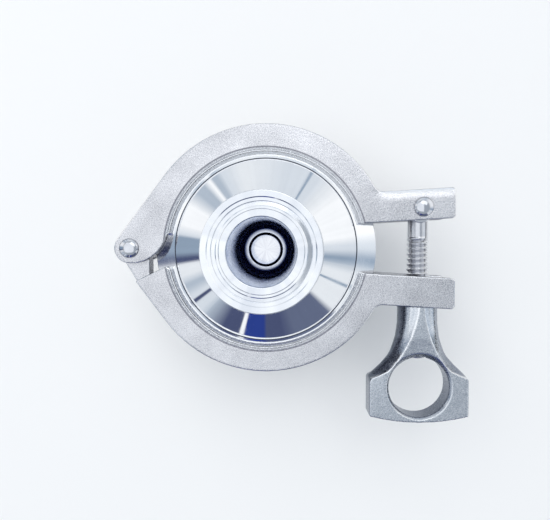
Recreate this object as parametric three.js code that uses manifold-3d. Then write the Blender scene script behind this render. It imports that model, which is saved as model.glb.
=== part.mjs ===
// An in-line sanitary check valve, standing on its outlet ferrule, with the two-piece
// clamp that holds its body halves together. Flow enters at the top ferrule, lifts the
// sprung poppet off its seat and leaves through the guide spider and the outlet bore.
//
// Units are millimetres. The valve is laid out about its own axis (Z, with z = 0 in the
// gasket's mid-plane), and the last lines move it so that the row frame's origin is the
// middle of the base of its bounding box.
import * as THREE from "three";
import { mergeVertices } from "three/addons/utils/BufferGeometryUtils.js";
import Module from "manifold-3d";

const wasm = await Module();
wasm.setup();

// ---------------------------------------------------------------- driving dimensions
// Body halves: 34 mm end ferrules and 77.5 mm middle ferrules.
const halfLength = 48; // mid-plane to the face of an end ferrule
const flangeSlope = Math.tan(THREE.MathUtils.degToRad(20)); // back slope of every ferrule
const boreRadius = 9.6;
const endFerrule = { radius: 17, edge: 2.85, grooveRadius: 13.75, grooveHalf: 1.3, grooveDepth: 0.6 };
const midFerrule = { radius: 38.75, edge: 2.85, grooveRadius: 35.25, grooveHalf: 1.7, grooveDepth: 1.35 };
const neckRadius = 11.7;
const coneRadius = 31.4; // where the cone meets the middle ferrule
const coneSlope = Math.tan(THREE.MathUtils.degToRad(27));
const wallDepth = 2.3; // the outlet half's wall, measured along Z
const gasketGap = 0.85; // mid-plane to the mating face of either body half
const gasketHalf = 0.75;

// Seat and poppet, in the closed position.
const throatRadius = 5.9;
const shoulderZ = 6.2; // upstream shoulder round the throat
const shoulderRadius = 6.6; // outer edge of that flat shoulder
const shoulderRise = 6.3; // height over which the shoulder sweeps up into the bore
const seatTopZ = 4.5; // where the 45 degree seat cone starts
const noseRadius = 5.16;
const noseZ = 6.9;
const sealWire = 0.9; // O-ring section radius
const sealRadius = 5;
const sealZ = 3.95;
const headRadius = 11;
const headBackZ = -3.5;
const stemRadius = 3;
const stemEndZ = -27;

// Guide spider, bush and spring.
const ledgeRadius = 19.2;
const ledgeZ = -12;
const guideRadius = 19; // outside of the spider's ring
const ringHeight = 1.8;
const hubRadius = 7.2;
const hubRimZ = -10.4;
const springSeatZ = -13.2;
const springPocketRadius = 5.8;
const hubBottomZ = -21;
const bushRadius = 4.2;
const springRadius = 4.75;
const springWire = 0.55; // section radius
const springTurns = 3.5;

// Clamp.
const clampRadius = 43.2;
const clampHalfWidth = 8.5;
const lipRadius = 34.2;
const lipChamfer = 0.9;
const lipChamferDepth = 1.7;
const clampGap = 0.3; // running clearance between the clamp's V-groove and the ferrules
const partingY = 0.45; // height of the plane that the two jaws mirror each other in
const hinge = new THREE.Vector2(-47.2, partingY);
const knuckleRadius = 5.2;
const tongueHalf = 3.1;
const forkHalf = 3.4;
const pinHeadRadius = 3.35;
const pinRadius = 2.9;
const pinHeadHeight = 1.5;
const bolt = new THREE.Vector2(54.2, 14.65); // pivot of the swing bolt in the upper ear
const eyeRadius = 5.8;
const eyeHalf = 4.3;
const boltRadius = 4;
const shankRadius = 3.55;
const shankEndY = 4; // the thread starts here
const boltEndY = -38.8;
const boltSlotHalf = 4.9;
const ear = {
  rootX: 35,
  tipX: 65.1,
  inner: 8.6, // from the parting plane to the inner face of an ear at rootX
  outer: 19.3, // from the parting plane to the outer face of an ear at rootX
  slope: 0.057, // both faces splay outwards by 3 degrees
  corner: 1.1,
  fillet: 3.2,
};
const seatRadius = 33; // nut seat under the lower ear, an arc about the bolt's pivot
const seatHalf = 7.1;

// Washer and wing nut.
const washer = { radius: 6.7, bore: 4.3, thickness: 1 };
const washerTopY = bolt.y - seatRadius - 0.25;
const nutTopY = washerTopY - washer.thickness - 0.15;
const nut = {
  neck: 6.95,
  flareStartY: -25.2,
  flareRadius: 26,
  halfWidth: 17.6,
  shoulderY: -45.7,
  sideEndY: -59.3,
  bottomY: -61.5,
  holeY: -49,
  holeRadius: 10.7,
  half: 4.6,
  bore: 4.3,
};

// ---------------------------------------------------------------- materials
const material = (color, roughness, metalness) =>
  new THREE.MeshStandardMaterial({ color, roughness, metalness });
const polished = material(0xd9dcdf, 0.12, 1);
const cast = material(0xc9c9cb, 0.42, 1);
const pinSteel = material(0xcfd2d4, 0.22, 1);
const wire = material(0xb9bcc0, 0.25, 1);
const blackRubber = material(0x111214, 0.6, 0);
const whiteRubber = material(0xe6e4dd, 0.55, 0);
const guidePolymer = material(0xeeede8, 0.4, 0);

// ---------------------------------------------------------------- solid helpers
// A closed three.js geometry as a manifold-3d solid, turned outside out if need be.
function solidOf(geometry) {
  const bare = geometry.index ? geometry.toNonIndexed() : geometry.clone();
  bare.deleteAttribute("normal");
  bare.deleteAttribute("uv");
  const merged = mergeVertices(bare, 1e-4);
  const index = merged.index.array;
  const kept = [];
  for (let i = 0; i < index.length; i += 3) {
    const [a, b, c] = [index[i], index[i + 1], index[i + 2]];
    if (a !== b && b !== c && c !== a) kept.push(a, b, c);
  }
  const build = (triVerts) =>
    new wasm.Manifold(
      new wasm.Mesh({
        numProp: 3,
        vertProperties: merged.attributes.position.array,
        triVerts: new Uint32Array(triVerts),
      }),
    );
  const made = build(kept);
  return made.volume() > 0 ? made : build(kept.reverse());
}

// A manifold-3d solid as a named mesh.
function meshOf(name, solid, look) {
  const data = solid.getMesh();
  const geometry = new THREE.BufferGeometry();
  geometry.setAttribute("position", new THREE.BufferAttribute(new Float32Array(data.vertProperties), 3));
  geometry.setIndex(new THREE.BufferAttribute(new Uint32Array(data.triVerts), 1));
  geometry.computeVertexNormals();
  const mesh = new THREE.Mesh(geometry, look);
  mesh.name = name;
  return mesh;
}

// A solid of revolution about Z from a list of [radius, z] corners.
function turned(profile, segments) {
  const points = profile.map(([r, z]) => new THREE.Vector2(r, z));
  if (profile[0][0] > 0) points.push(points[0].clone());
  return solidOf(new THREE.LatheGeometry(points, segments).rotateX(Math.PI / 2));
}

// A flat outline of Vector2 corners, extruded from zLow to zHigh.
function plate(outline, zLow, zHigh) {
  const settings = { depth: zHigh - zLow, bevelEnabled: false };
  return solidOf(new THREE.ExtrudeGeometry(new THREE.Shape(outline), settings).translate(0, 0, zLow));
}

// A box between two corners.
function block(low, high) {
  const size = high.map((v, i) => v - low[i]);
  const middle = high.map((v, i) => (v + low[i]) / 2);
  return solidOf(new THREE.BoxGeometry(...size).translate(...middle));
}

// A cylinder along Z, centred on a point of the XY plane.
function post(centre, radius, zLow, zHigh, segments = 28) {
  const round = new THREE.CylinderGeometry(radius, radius, zHigh - zLow, segments).rotateX(Math.PI / 2);
  return solidOf(round.translate(centre.x, centre.y, (zLow + zHigh) / 2));
}

// A solid of revolution about the swing bolt's own axis (Y), from [radius, y] corners.
function turnedOnBolt(profile, segments) {
  const points = profile.map(([r, y]) => new THREE.Vector2(r, y));
  if (profile[0][0] > 0) points.push(points[0].clone());
  return solidOf(new THREE.LatheGeometry(points, segments).translate(bolt.x, 0, 0));
}

// Points on an arc, from one angle to another in degrees.
function arc(centre, radius, from, to, step = 4) {
  const count = Math.max(2, Math.ceil(Math.abs(to - from) / step));
  return Array.from({ length: count + 1 }, (_, i) => {
    const angle = THREE.MathUtils.degToRad(from + ((to - from) * i) / count);
    return new THREE.Vector2(centre.x + radius * Math.cos(angle), centre.y + radius * Math.sin(angle));
  });
}

const mirrored = (points) => points.map((p) => new THREE.Vector2(p.x, 2 * partingY - p.y));
const origin = new THREE.Vector2(0, 0);
const degrees = (radians) => THREE.MathUtils.radToDeg(radians);

// ---------------------------------------------------------------- body halves
// Corners of a half-round gasket groove cut down into a face at height z, from outside in.
function groove({ grooveRadius, grooveHalf, grooveDepth }, z, down) {
  return [
    [grooveRadius + grooveHalf, z],
    [grooveRadius + grooveHalf * 0.72, z - down * grooveDepth * 0.7],
    [grooveRadius, z - down * grooveDepth],
    [grooveRadius - grooveHalf * 0.72, z - down * grooveDepth * 0.7],
    [grooveRadius - grooveHalf, z],
  ];
}

// The outside of a body half, from the mating face at the middle to the end bore.
// Heights are measured away from the mid-plane.
function bodyOutside() {
  const rimTop = gasketGap + midFerrule.edge;
  const coneFoot = rimTop + (midFerrule.radius - coneRadius) * flangeSlope;
  const endBack = halfLength - endFerrule.edge;
  const neckTop = endBack - (endFerrule.radius - neckRadius) * flangeSlope;
  const coneTop = coneFoot + (coneRadius - neckRadius) * coneSlope;
  return [
    ...groove(midFerrule, gasketGap, -1).reverse(),
    [midFerrule.radius - 0.3, gasketGap],
    [midFerrule.radius, gasketGap + 0.3],
    [midFerrule.radius, rimTop],
    [coneRadius, coneFoot],
    [neckRadius + 1.6, coneTop - 1.6 * coneSlope],
    [neckRadius + 0.4, coneTop + 0.1],
    [neckRadius, coneTop + 1.6],
    [neckRadius, neckTop - 0.5],
    [neckRadius + 0.5, neckTop + 0.1],
    [endFerrule.radius, endBack],
    [endFerrule.radius, halfLength - 0.3],
    [endFerrule.radius - 0.3, halfLength],
    ...groove(endFerrule, halfLength, 1),
    [boreRadius + 0.3, halfLength],
    [boreRadius, halfLength - 0.3],
  ];
}

// The inlet half is solid between its bore and its cone, and carries the seat.
function inletBody() {
  const reach = boreRadius - shoulderRadius;
  const sweep = arc(origin, 1, 0, -90, 18).map((p) => [
    shoulderRadius + reach * p.x,
    shoulderZ + shoulderRise * (1 + p.y),
  ]);
  const seatFoot = throatRadius + (seatTopZ - gasketGap);
  const inside = [
    ...sweep,
    [throatRadius + 0.15, shoulderZ],
    [throatRadius, shoulderZ - 0.15],
    [throatRadius, seatTopZ],
    [seatFoot, gasketGap],
  ];
  return turned([...bodyOutside(), ...inside], 40);
}

// The outlet half is hollow: a conical chamber with a small ledge for the guide spider.
function outletBody() {
  const coneFoot = gasketGap + midFerrule.edge + (midFerrule.radius - coneRadius) * flangeSlope;
  const chamberFoot = coneFoot - wallDepth;
  const chamberDepth = (r) => chamberFoot + (coneRadius - r) * coneSlope;
  const ledgeInner = coneRadius - (-ledgeZ - chamberFoot) / coneSlope;
  const inside = [
    [boreRadius, chamberDepth(boreRadius)],
    [ledgeInner, -ledgeZ],
    [ledgeRadius, -ledgeZ],
    [ledgeRadius, chamberDepth(ledgeRadius)],
    [29.4, chamberDepth(29.4)],
    [30.1, gasketGap],
  ];
  const upright = [...bodyOutside(), ...inside];
  return turned(upright.map(([r, z]) => [r, -z]), 40);
}

function bodyGasket() {
  const bead = midFerrule.grooveHalf - 0.35;
  const depth = gasketGap + midFerrule.grooveDepth - 0.35;
  const upper = [
    [30.3, gasketHalf],
    [midFerrule.grooveRadius - bead, gasketHalf],
    [midFerrule.grooveRadius - bead * 0.6, depth - 0.25],
    [midFerrule.grooveRadius, depth],
    [midFerrule.grooveRadius + bead * 0.6, depth - 0.25],
    [midFerrule.grooveRadius + bead, gasketHalf],
    [38.5, gasketHalf],
  ];
  const lower = upper.map(([r, z]) => [r, -z]).reverse();
  return turned([...upper, ...lower], 40);
}

// ---------------------------------------------------------------- poppet and guide
// The head: a flat nose that fills the throat, a groove for the O-ring, a 45 degree
// flank just clear of the seat, and a socket for the stem.
function poppetHead() {
  const flankSum = throatRadius + seatTopZ - 0.5;
  const grooveTop = sealZ + sealWire + 0.05;
  const grooveFoot = sealZ - sealWire - 0.05;
  return turned(
    [
      [0, noseZ],
      [noseRadius - 0.2, noseZ],
      [noseRadius, noseZ - 0.2],
      [noseRadius, grooveTop],
      [sealRadius - sealWire - 0.05, grooveTop],
      [sealRadius - sealWire - 0.05, grooveFoot],
      [flankSum - grooveFoot, grooveFoot],
      [headRadius, flankSum - headRadius],
      [headRadius, headBackZ + 0.9],
      [headRadius - 0.5, headBackZ + 0.4],
      [springRadius + springWire + 0.6, headBackZ],
      [springRadius - springWire - 0.25, headBackZ],
      [springRadius - springWire - 0.25, headBackZ - 1.5],
      [2.5, headBackZ - 1.5],
      [2.5, 0],
      [0, 0],
    ],
    28,
  );
}

// The stem: a tenon in the head, a plain shank in the bush and a groove for the clip.
function poppetStem() {
  const shoulder = headBackZ - 1.6;
  const clipZ = hubBottomZ - 1.6;
  return turned(
    [
      [0, -0.3],
      [2.4, -0.3],
      [2.4, shoulder],
      [stemRadius, shoulder],
      [stemRadius, clipZ + 0.5],
      [2.3, clipZ + 0.5],
      [2.3, clipZ - 0.5],
      [stemRadius, clipZ - 0.5],
      [stemRadius, stemEndZ + 0.7],
      [stemRadius - 0.7, stemEndZ],
      [0, stemEndZ],
    ],
    20,
  );
}

function poppetSeal() {
  return solidOf(new THREE.TorusGeometry(sealRadius, sealWire, 8, 28).translate(0, 0, sealZ));
}

// A C-shaped clip that snaps into the stem's groove below the guide hub.
function stemClip() {
  const z = hubBottomZ - 1.6;
  const outline = [...arc(origin, 4.6, 35, 325, 12), ...arc(origin, 2.45, 325, 35, 15)];
  return plate(outline, z - 0.4, z + 0.4);
}

// Ring, three arms and hub. The ring rests on the ledge in the outlet half.
function guideSpider() {
  const ringTop = ledgeZ + 0.1 + ringHeight;
  const ringFoot = ledgeZ + 0.1;
  const ring = turned(
    [
      [guideRadius, ringFoot],
      [guideRadius, ringTop],
      [guideRadius - 1.7, ringTop],
      [guideRadius - 1.7, ringFoot + 0.9],
      [guideRadius - 1, ringFoot],
    ],
    32,
  );
  const hub = turned(
    [
      [hubRadius - 1, hubBottomZ],
      [hubRadius - 1, springSeatZ - 2.5],
      [hubRadius, springSeatZ - 1.5],
      [hubRadius, hubRimZ],
      [springPocketRadius, hubRimZ],
      [springPocketRadius, springSeatZ],
      [bushRadius + 0.1, springSeatZ],
      [bushRadius + 0.1, hubBottomZ],
    ],
    24,
  );
  let spider = ring.add(hub);
  for (const turn of [90, 210, 330]) {
    const inner = hubRadius - 0.7;
    const outer = guideRadius - 0.9;
    const arm = new THREE.BoxGeometry(outer - inner, 3.2, ringTop - ringFoot - 0.1)
      .translate((outer + inner) / 2, 0, (ringTop + ringFoot) / 2)
      .rotateZ(THREE.MathUtils.degToRad(turn));
    spider = spider.add(solidOf(arm));
  }
  return spider;
}

function guideBush() {
  const bore = stemRadius + 0.1;
  return turned(
    [
      [bushRadius, hubBottomZ],
      [bushRadius, springSeatZ - 0.3],
      [bore, springSeatZ - 0.3],
      [bore, hubBottomZ],
    ],
    24,
  );
}

// A helix of round wire between the hub and the back of the poppet head.
class Helix extends THREE.Curve {
  constructor(radius, zLow, zHigh, turns) {
    super();
    Object.assign(this, { radius, zLow, zHigh, turns });
  }

  getPoint(t, target = new THREE.Vector3()) {
    const angle = t * this.turns * 2 * Math.PI;
    const z = this.zLow + (this.zHigh - this.zLow) * t;
    return target.set(this.radius * Math.cos(angle), this.radius * Math.sin(angle), z);
  }
}

function returnSpring() {
  const low = springSeatZ + springWire + 0.1;
  const high = headBackZ - springWire - 0.1;
  const section = new THREE.Shape(arc(origin, springWire, 0, 300, 60));
  const path = new Helix(springRadius, low, high, springTurns);
  return solidOf(new THREE.ExtrudeGeometry(section, { steps: 54, extrudePath: path }));
}

// ---------------------------------------------------------------- clamp jaws
// Angle, on both circles, of the straight edge that runs from the knuckle to the jaw's arc.
const tangentAngle =
  degrees(Math.atan2(-hinge.y, -hinge.x)) +
  degrees(Math.acos((knuckleRadius - clampRadius) / hinge.length()));

// Half a clamp's outline from the knuckle, over the arc and round the ear to the lip,
// drawn for the upper jaw.
function armOutline() {
  const outerY = (x) => partingY + ear.outer + ear.slope * (x - ear.rootX);
  const innerY = (x) => partingY + ear.inner + ear.slope * (x - ear.rootX);
  // The fillet's circle touches the jaw's arc from outside and the ear's outer face.
  const reach = clampRadius + ear.fillet;
  const lift = outerY(0) + ear.fillet * Math.hypot(1, ear.slope);
  const square = 1 + ear.slope ** 2;
  const root = Math.sqrt((ear.slope * lift) ** 2 - square * (lift ** 2 - reach ** 2));
  const filletX = (root - ear.slope * lift) / square;
  const fillet = new THREE.Vector2(filletX, ear.slope * filletX + lift);
  const arcEnd = degrees(Math.atan2(fillet.y, fillet.x));
  const splay = degrees(Math.atan(ear.slope));
  const outerCorner = new THREE.Vector2(ear.tipX - ear.corner, outerY(ear.tipX) - ear.corner);
  const innerCorner = new THREE.Vector2(ear.tipX - ear.corner, innerY(ear.tipX) + ear.corner);
  return {
    outside: [
      ...arc(hinge, knuckleRadius, 180, tangentAngle, 12),
      ...arc(origin, clampRadius, tangentAngle, arcEnd),
      ...arc(fillet, ear.fillet, arcEnd + 180, 270 + splay, 15),
      ...arc(outerCorner, ear.corner, 90 + splay, 0, 30),
      ...arc(innerCorner, ear.corner, 0, -90 + splay, 30),
    ],
    innerCornerY: innerY(lipRadius),
  };
}

// What the flange pair, with its clearance, takes out of both jaws, and the chamfers
// along their lips.
function flangeGroove() {
  const half = (r) => gasketGap + midFerrule.edge + clampGap + (midFerrule.radius - r) * flangeSlope;
  const floor = midFerrule.radius + 0.65;
  const chamferFoot = clampHalfWidth - lipChamferDepth;
  return turned(
    [
      [29, clampHalfWidth + 0.1],
      [lipRadius + lipChamfer, clampHalfWidth + 0.1],
      [lipRadius - 0.05, chamferFoot],
      [lipRadius - 0.05, half(lipRadius)],
      [floor, half(floor)],
      [floor, -half(floor)],
      [lipRadius - 0.05, -half(lipRadius)],
      [lipRadius - 0.05, -chamferFoot],
      [lipRadius + lipChamfer, -clampHalfWidth - 0.1],
      [29, -clampHalfWidth - 0.1],
    ],
    64,
  );
}

// The upper jaw ends at the hinge in two cheeks with a rounded nose.
function upperJaw(grooveSolid) {
  const { outside, innerCornerY } = armOutline();
  const lipStart = degrees(Math.asin(innerCornerY / lipRadius));
  const nose = { centre: new THREE.Vector2(-46.5, 7.4), radius: 12.2 };
  const outline = [
    ...outside,
    ...arc(origin, lipRadius, lipStart, 170.5),
    ...arc(nose.centre, nose.radius, -10, -90, 12),
    ...arc(hinge, knuckleRadius, 270, 186, 12),
  ];
  const fork = plate(
    [
      new THREE.Vector2(-54, -8),
      new THREE.Vector2(-40.2, -8),
      new THREE.Vector2(-40.2, 3.6),
      ...arc(hinge, knuckleRadius + 0.6, 40, 150, 15),
      new THREE.Vector2(-54, 2.6),
    ],
    -forkHalf,
    forkHalf,
  );
  return plate(outline, -clampHalfWidth, clampHalfWidth)
    .subtract(grooveSolid)
    .subtract(fork)
    .subtract(block([bolt.x - eyeRadius - 0.6, 0, -boltSlotHalf], [ear.tipX + 5, 30, boltSlotHalf]))
    .subtract(post(hinge, pinRadius + 0.1, -20, 20))
    .subtract(post(bolt, pinRadius + 0.1, -20, 20));
}

// The lower jaw starts at a slanting end face, with a tongue that fills the fork. Its
// ear has an open slot for the bolt and an arched seat for the nut.
function lowerJaw(grooveSolid) {
  const { outside, innerCornerY } = armOutline();
  const arm = mirrored(outside).filter((p) => p.y < -11 || p.x > 0);
  const lipStart = degrees(Math.asin((2 * partingY - innerCornerY) / lipRadius));
  const tangentFoot = mirrored(arc(hinge, knuckleRadius, tangentAngle - 8, tangentAngle))[2];
  const body = [
    tangentFoot.lerp(arm[0], 0.37),
    ...arm,
    ...arc(origin, lipRadius, lipStart, -168.7),
    new THREE.Vector2(0, lipRadius + 1).rotateAround(origin, THREE.MathUtils.degToRad(99.8)),
  ];
  const tongue = [
    ...arc(hinge, knuckleRadius, 100, 222, 12),
    new THREE.Vector2(-45.4, -12.3),
    new THREE.Vector2(-41.4, -13.3),
    new THREE.Vector2(-41.4, -2.2),
    ...arc(hinge, knuckleRadius, -25, 88, 12),
  ];
  const slotEnd = new THREE.CylinderGeometry(boltRadius + 0.6, boltRadius + 0.6, 30, 28);
  const slotX = bolt.x - 0.6;
  const seatCut = block(
    [bolt.x - seatHalf - 0.3, -30, -seatHalf],
    [ear.tipX + 5, -14, seatHalf],
  ).subtract(post(bolt, seatRadius, -20, 20, 120));
  return plate(body, -clampHalfWidth, clampHalfWidth)
    .add(plate(tongue, -tongueHalf, tongueHalf))
    .subtract(grooveSolid)
    .subtract(solidOf(slotEnd.translate(slotX, -15, 0)))
    .subtract(block([slotX, -30, -boltRadius - 0.6], [ear.tipX + 5, -1, boltRadius + 0.6]))
    .subtract(seatCut)
    .subtract(post(hinge, pinRadius + 0.1, -20, 20));
}

// A rivet along Z with a low domed head on each cheek.
function rivet(centre) {
  const rise = clampHalfWidth + 0.05;
  const dome = [
    [pinHeadRadius, rise],
    [pinHeadRadius, rise + pinHeadHeight * 0.35],
    [pinHeadRadius * 0.8, rise + pinHeadHeight * 0.8],
    [pinHeadRadius * 0.42, rise + pinHeadHeight * 0.97],
    [0, rise + pinHeadHeight],
  ];
  const half = [[pinRadius, 0], [pinRadius, rise], ...dome];
  const lower = half.map(([r, z]) => [r, -z]).reverse();
  return turned([...lower.slice(0, -1), ...half], 28).translate([centre.x, centre.y, 0]);
}

// ---------------------------------------------------------------- bolt, washer, nut
function swingBolt() {
  const eye = post(bolt, eyeRadius, -eyeHalf, eyeHalf, 36);
  const shank = turnedOnBolt(
    [
      [0, boltEndY],
      [boltRadius - 0.9, boltEndY],
      [boltRadius, boltEndY + 0.9],
      [boltRadius, shankEndY - 0.6],
      [shankRadius, shankEndY],
      [shankRadius, bolt.y - 3],
      [0, bolt.y - 3],
    ],
    32,
  );
  return eye.add(shank).subtract(post(bolt, pinRadius + 0.1, -20, 20));
}

function nutWasher() {
  return turnedOnBolt(
    [
      [washer.bore, washerTopY - washer.thickness],
      [washer.radius, washerTopY - washer.thickness],
      [washer.radius, washerTopY],
      [washer.bore, washerTopY],
    ],
    32,
  );
}

// A threaded neck that flares into a flat plate with a large finger hole.
function wingNut() {
  const flare = new THREE.Vector2(nut.neck + nut.flareRadius, nut.flareStartY);
  const flareEnd = degrees(Math.asin((nut.flareStartY - nut.shoulderY) / nut.flareRadius));
  const crown = ((nut.sideEndY - nut.bottomY) ** 2 + nut.halfWidth ** 2) / (2 * (nut.sideEndY - nut.bottomY));
  const crownAngle = degrees(Math.asin(nut.halfWidth / crown));
  const right = [
    new THREE.Vector2(nut.neck - 1.2, nutTopY - 3),
    ...arc(flare, nut.flareRadius, 180, 180 + flareEnd, 6),
    new THREE.Vector2(nut.halfWidth, nut.shoulderY - 0.9),
    new THREE.Vector2(nut.halfWidth, nut.sideEndY),
  ];
  const left = right.map((p) => new THREE.Vector2(-p.x, p.y)).reverse();
  const base = arc(new THREE.Vector2(0, nut.bottomY + crown), crown, 270 + crownAngle, 270 - crownAngle, 4);
  const outline = [...right, ...base.slice(1, -1), ...left].map((p) => new THREE.Vector2(p.x + bolt.x, p.y));
  const neck = turnedOnBolt(
    [
      [0, nutTopY],
      [nut.neck, nutTopY],
      [nut.neck, nut.flareStartY - 3],
      [nut.half, nut.holeY + 13],
      [0, nut.holeY + 13],
    ],
    36,
  );
  const threadBore = turnedOnBolt(
    [
      [0, nut.holeY],
      [nut.bore, nut.holeY],
      [nut.bore, nutTopY + 1],
      [0, nutTopY + 1],
    ],
    32,
  );
  return plate(outline, -nut.half, nut.half)
    .add(neck)
    .subtract(threadBore)
    .subtract(post(new THREE.Vector2(bolt.x, nut.holeY), nut.holeRadius, -20, 20, 64));
}

// ---------------------------------------------------------------- assembly
const valve = new THREE.Group();
valve.add(
  meshOf("inlet_body", inletBody(), polished),
  meshOf("outlet_body", outletBody(), polished),
  meshOf("body_gasket", bodyGasket(), whiteRubber),
  meshOf("poppet_head", poppetHead(), polished),
  meshOf("poppet_stem", poppetStem(), pinSteel),
  meshOf("poppet_seal", poppetSeal(), blackRubber),
  meshOf("stem_clip", stemClip(), wire),
  meshOf("guide_spider", guideSpider(), polished),
  meshOf("guide_bush", guideBush(), guidePolymer),
  meshOf("return_spring", returnSpring(), wire),
);

const grooveSolid = flangeGroove();
const clamp = new THREE.Group();
clamp.add(
  meshOf("upper_jaw", upperJaw(grooveSolid), cast),
  meshOf("lower_jaw", lowerJaw(grooveSolid), cast),
  meshOf("hinge_pin", rivet(hinge), pinSteel),
  meshOf("bolt_pin", rivet(bolt), pinSteel),
  meshOf("swing_bolt", swingBolt(), pinSteel),
  meshOf("nut_washer", nutWasher(), pinSteel),
  meshOf("wing_nut", wingNut(), cast),
);

// The row frame's origin is the middle of the base of the whole object's box.
const middleX = (bolt.x + nut.halfWidth + hinge.x - knuckleRadius) / 2;
const middleY = (clampRadius + nut.bottomY) / 2;
const part = new THREE.Group();
part.add(valve, clamp);
for (const group of part.children) group.position.set(-middleX, -middleY, halfLength);

export default part;
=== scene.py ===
import math

import bmesh
import bpy
from mathutils import Matrix, Vector


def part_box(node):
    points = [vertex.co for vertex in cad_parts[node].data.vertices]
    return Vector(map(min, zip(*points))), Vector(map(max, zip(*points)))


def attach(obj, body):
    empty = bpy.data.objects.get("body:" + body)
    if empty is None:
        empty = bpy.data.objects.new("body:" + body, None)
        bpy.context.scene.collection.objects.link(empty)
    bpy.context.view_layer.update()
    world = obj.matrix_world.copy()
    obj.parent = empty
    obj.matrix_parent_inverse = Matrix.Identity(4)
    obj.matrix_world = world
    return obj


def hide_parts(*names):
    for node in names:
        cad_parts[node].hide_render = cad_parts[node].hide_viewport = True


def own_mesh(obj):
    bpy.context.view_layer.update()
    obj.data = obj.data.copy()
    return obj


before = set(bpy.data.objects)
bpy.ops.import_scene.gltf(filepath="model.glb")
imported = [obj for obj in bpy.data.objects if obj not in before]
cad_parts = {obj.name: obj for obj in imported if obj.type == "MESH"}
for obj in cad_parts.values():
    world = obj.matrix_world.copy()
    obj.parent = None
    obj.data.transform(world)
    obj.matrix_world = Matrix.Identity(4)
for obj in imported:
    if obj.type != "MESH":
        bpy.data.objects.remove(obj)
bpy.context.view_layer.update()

MM = 0.001


def centre(node):
    low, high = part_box(node)
    return (low + high) / 2


AXIS = centre("inlet_body").xy
MID_Z = centre("upper_jaw").z
HALF_LENGTH = (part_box("inlet_body")[1].z - MID_Z) / MM
JAW_HALF = (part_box("upper_jaw")[1].z - MID_Z) / MM
HINGE = (centre("hinge_pin").xy - AXIS) / MM
PIVOT = (centre("bolt_pin").xy - AXIS) / MM
PARTING = HINGE.y
NUT_TOP = (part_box("wing_nut")[1].y - AXIS.y) / MM
BOLT_END = (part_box("swing_bolt")[0].y - AXIS.y) / MM

# Radii of the body, and heights above the clamp's mid-plane.
BORE = 9.6
NECK = 11.7
END_RIM = 17
CONE_RIM = 31.4
FLANGE_EDGE = 31.8
FLANGE_RIM = 38.75
CONE_SLOPE = math.tan(math.radians(27))
CONE_FOOT = 6.38
RIM_TOP = 3.7
JOINT_FACE = 0.85
SHOULDER = 6.2
BORE_END = 12.5
FACE_DEPTH = 1.25
# Where the jaws' inner lip, given a painted highlight, meets the cast face along a painted dark line.
LIP = 35.1
# Where the spring's two seats are.
HUB_TOP = -13.2
POPPET_BACK = -3.5


def place(x, y, z):
    return Vector((AXIS.x + x * MM, AXIS.y + y * MM, MID_Z + z * MM))


# ---------------------------------------------------------------- camera
scene = bpy.context.scene
scene.view_settings.view_transform = "Standard"


def add_camera():
    data = bpy.data.cameras.new("camera")
    camera = bpy.data.objects.new("camera", data)
    scene.collection.objects.link(camera)
    eye = place(5.4, 3.2, 192)
    target = place(3.1, -3.9, 0)
    forward = (target - eye).normalized()
    right = forward.cross(Vector((0, 1, 0))).normalized()
    up = right.cross(forward)
    turn = Matrix((right, up, -forward)).transposed().to_4x4()
    camera.matrix_world = Matrix.Translation(eye) @ turn
    data.lens = 34.93
    data.sensor_width = 36
    data.clip_start = 0.005
    data.clip_end = 20
    scene.camera = camera


add_camera()


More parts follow.
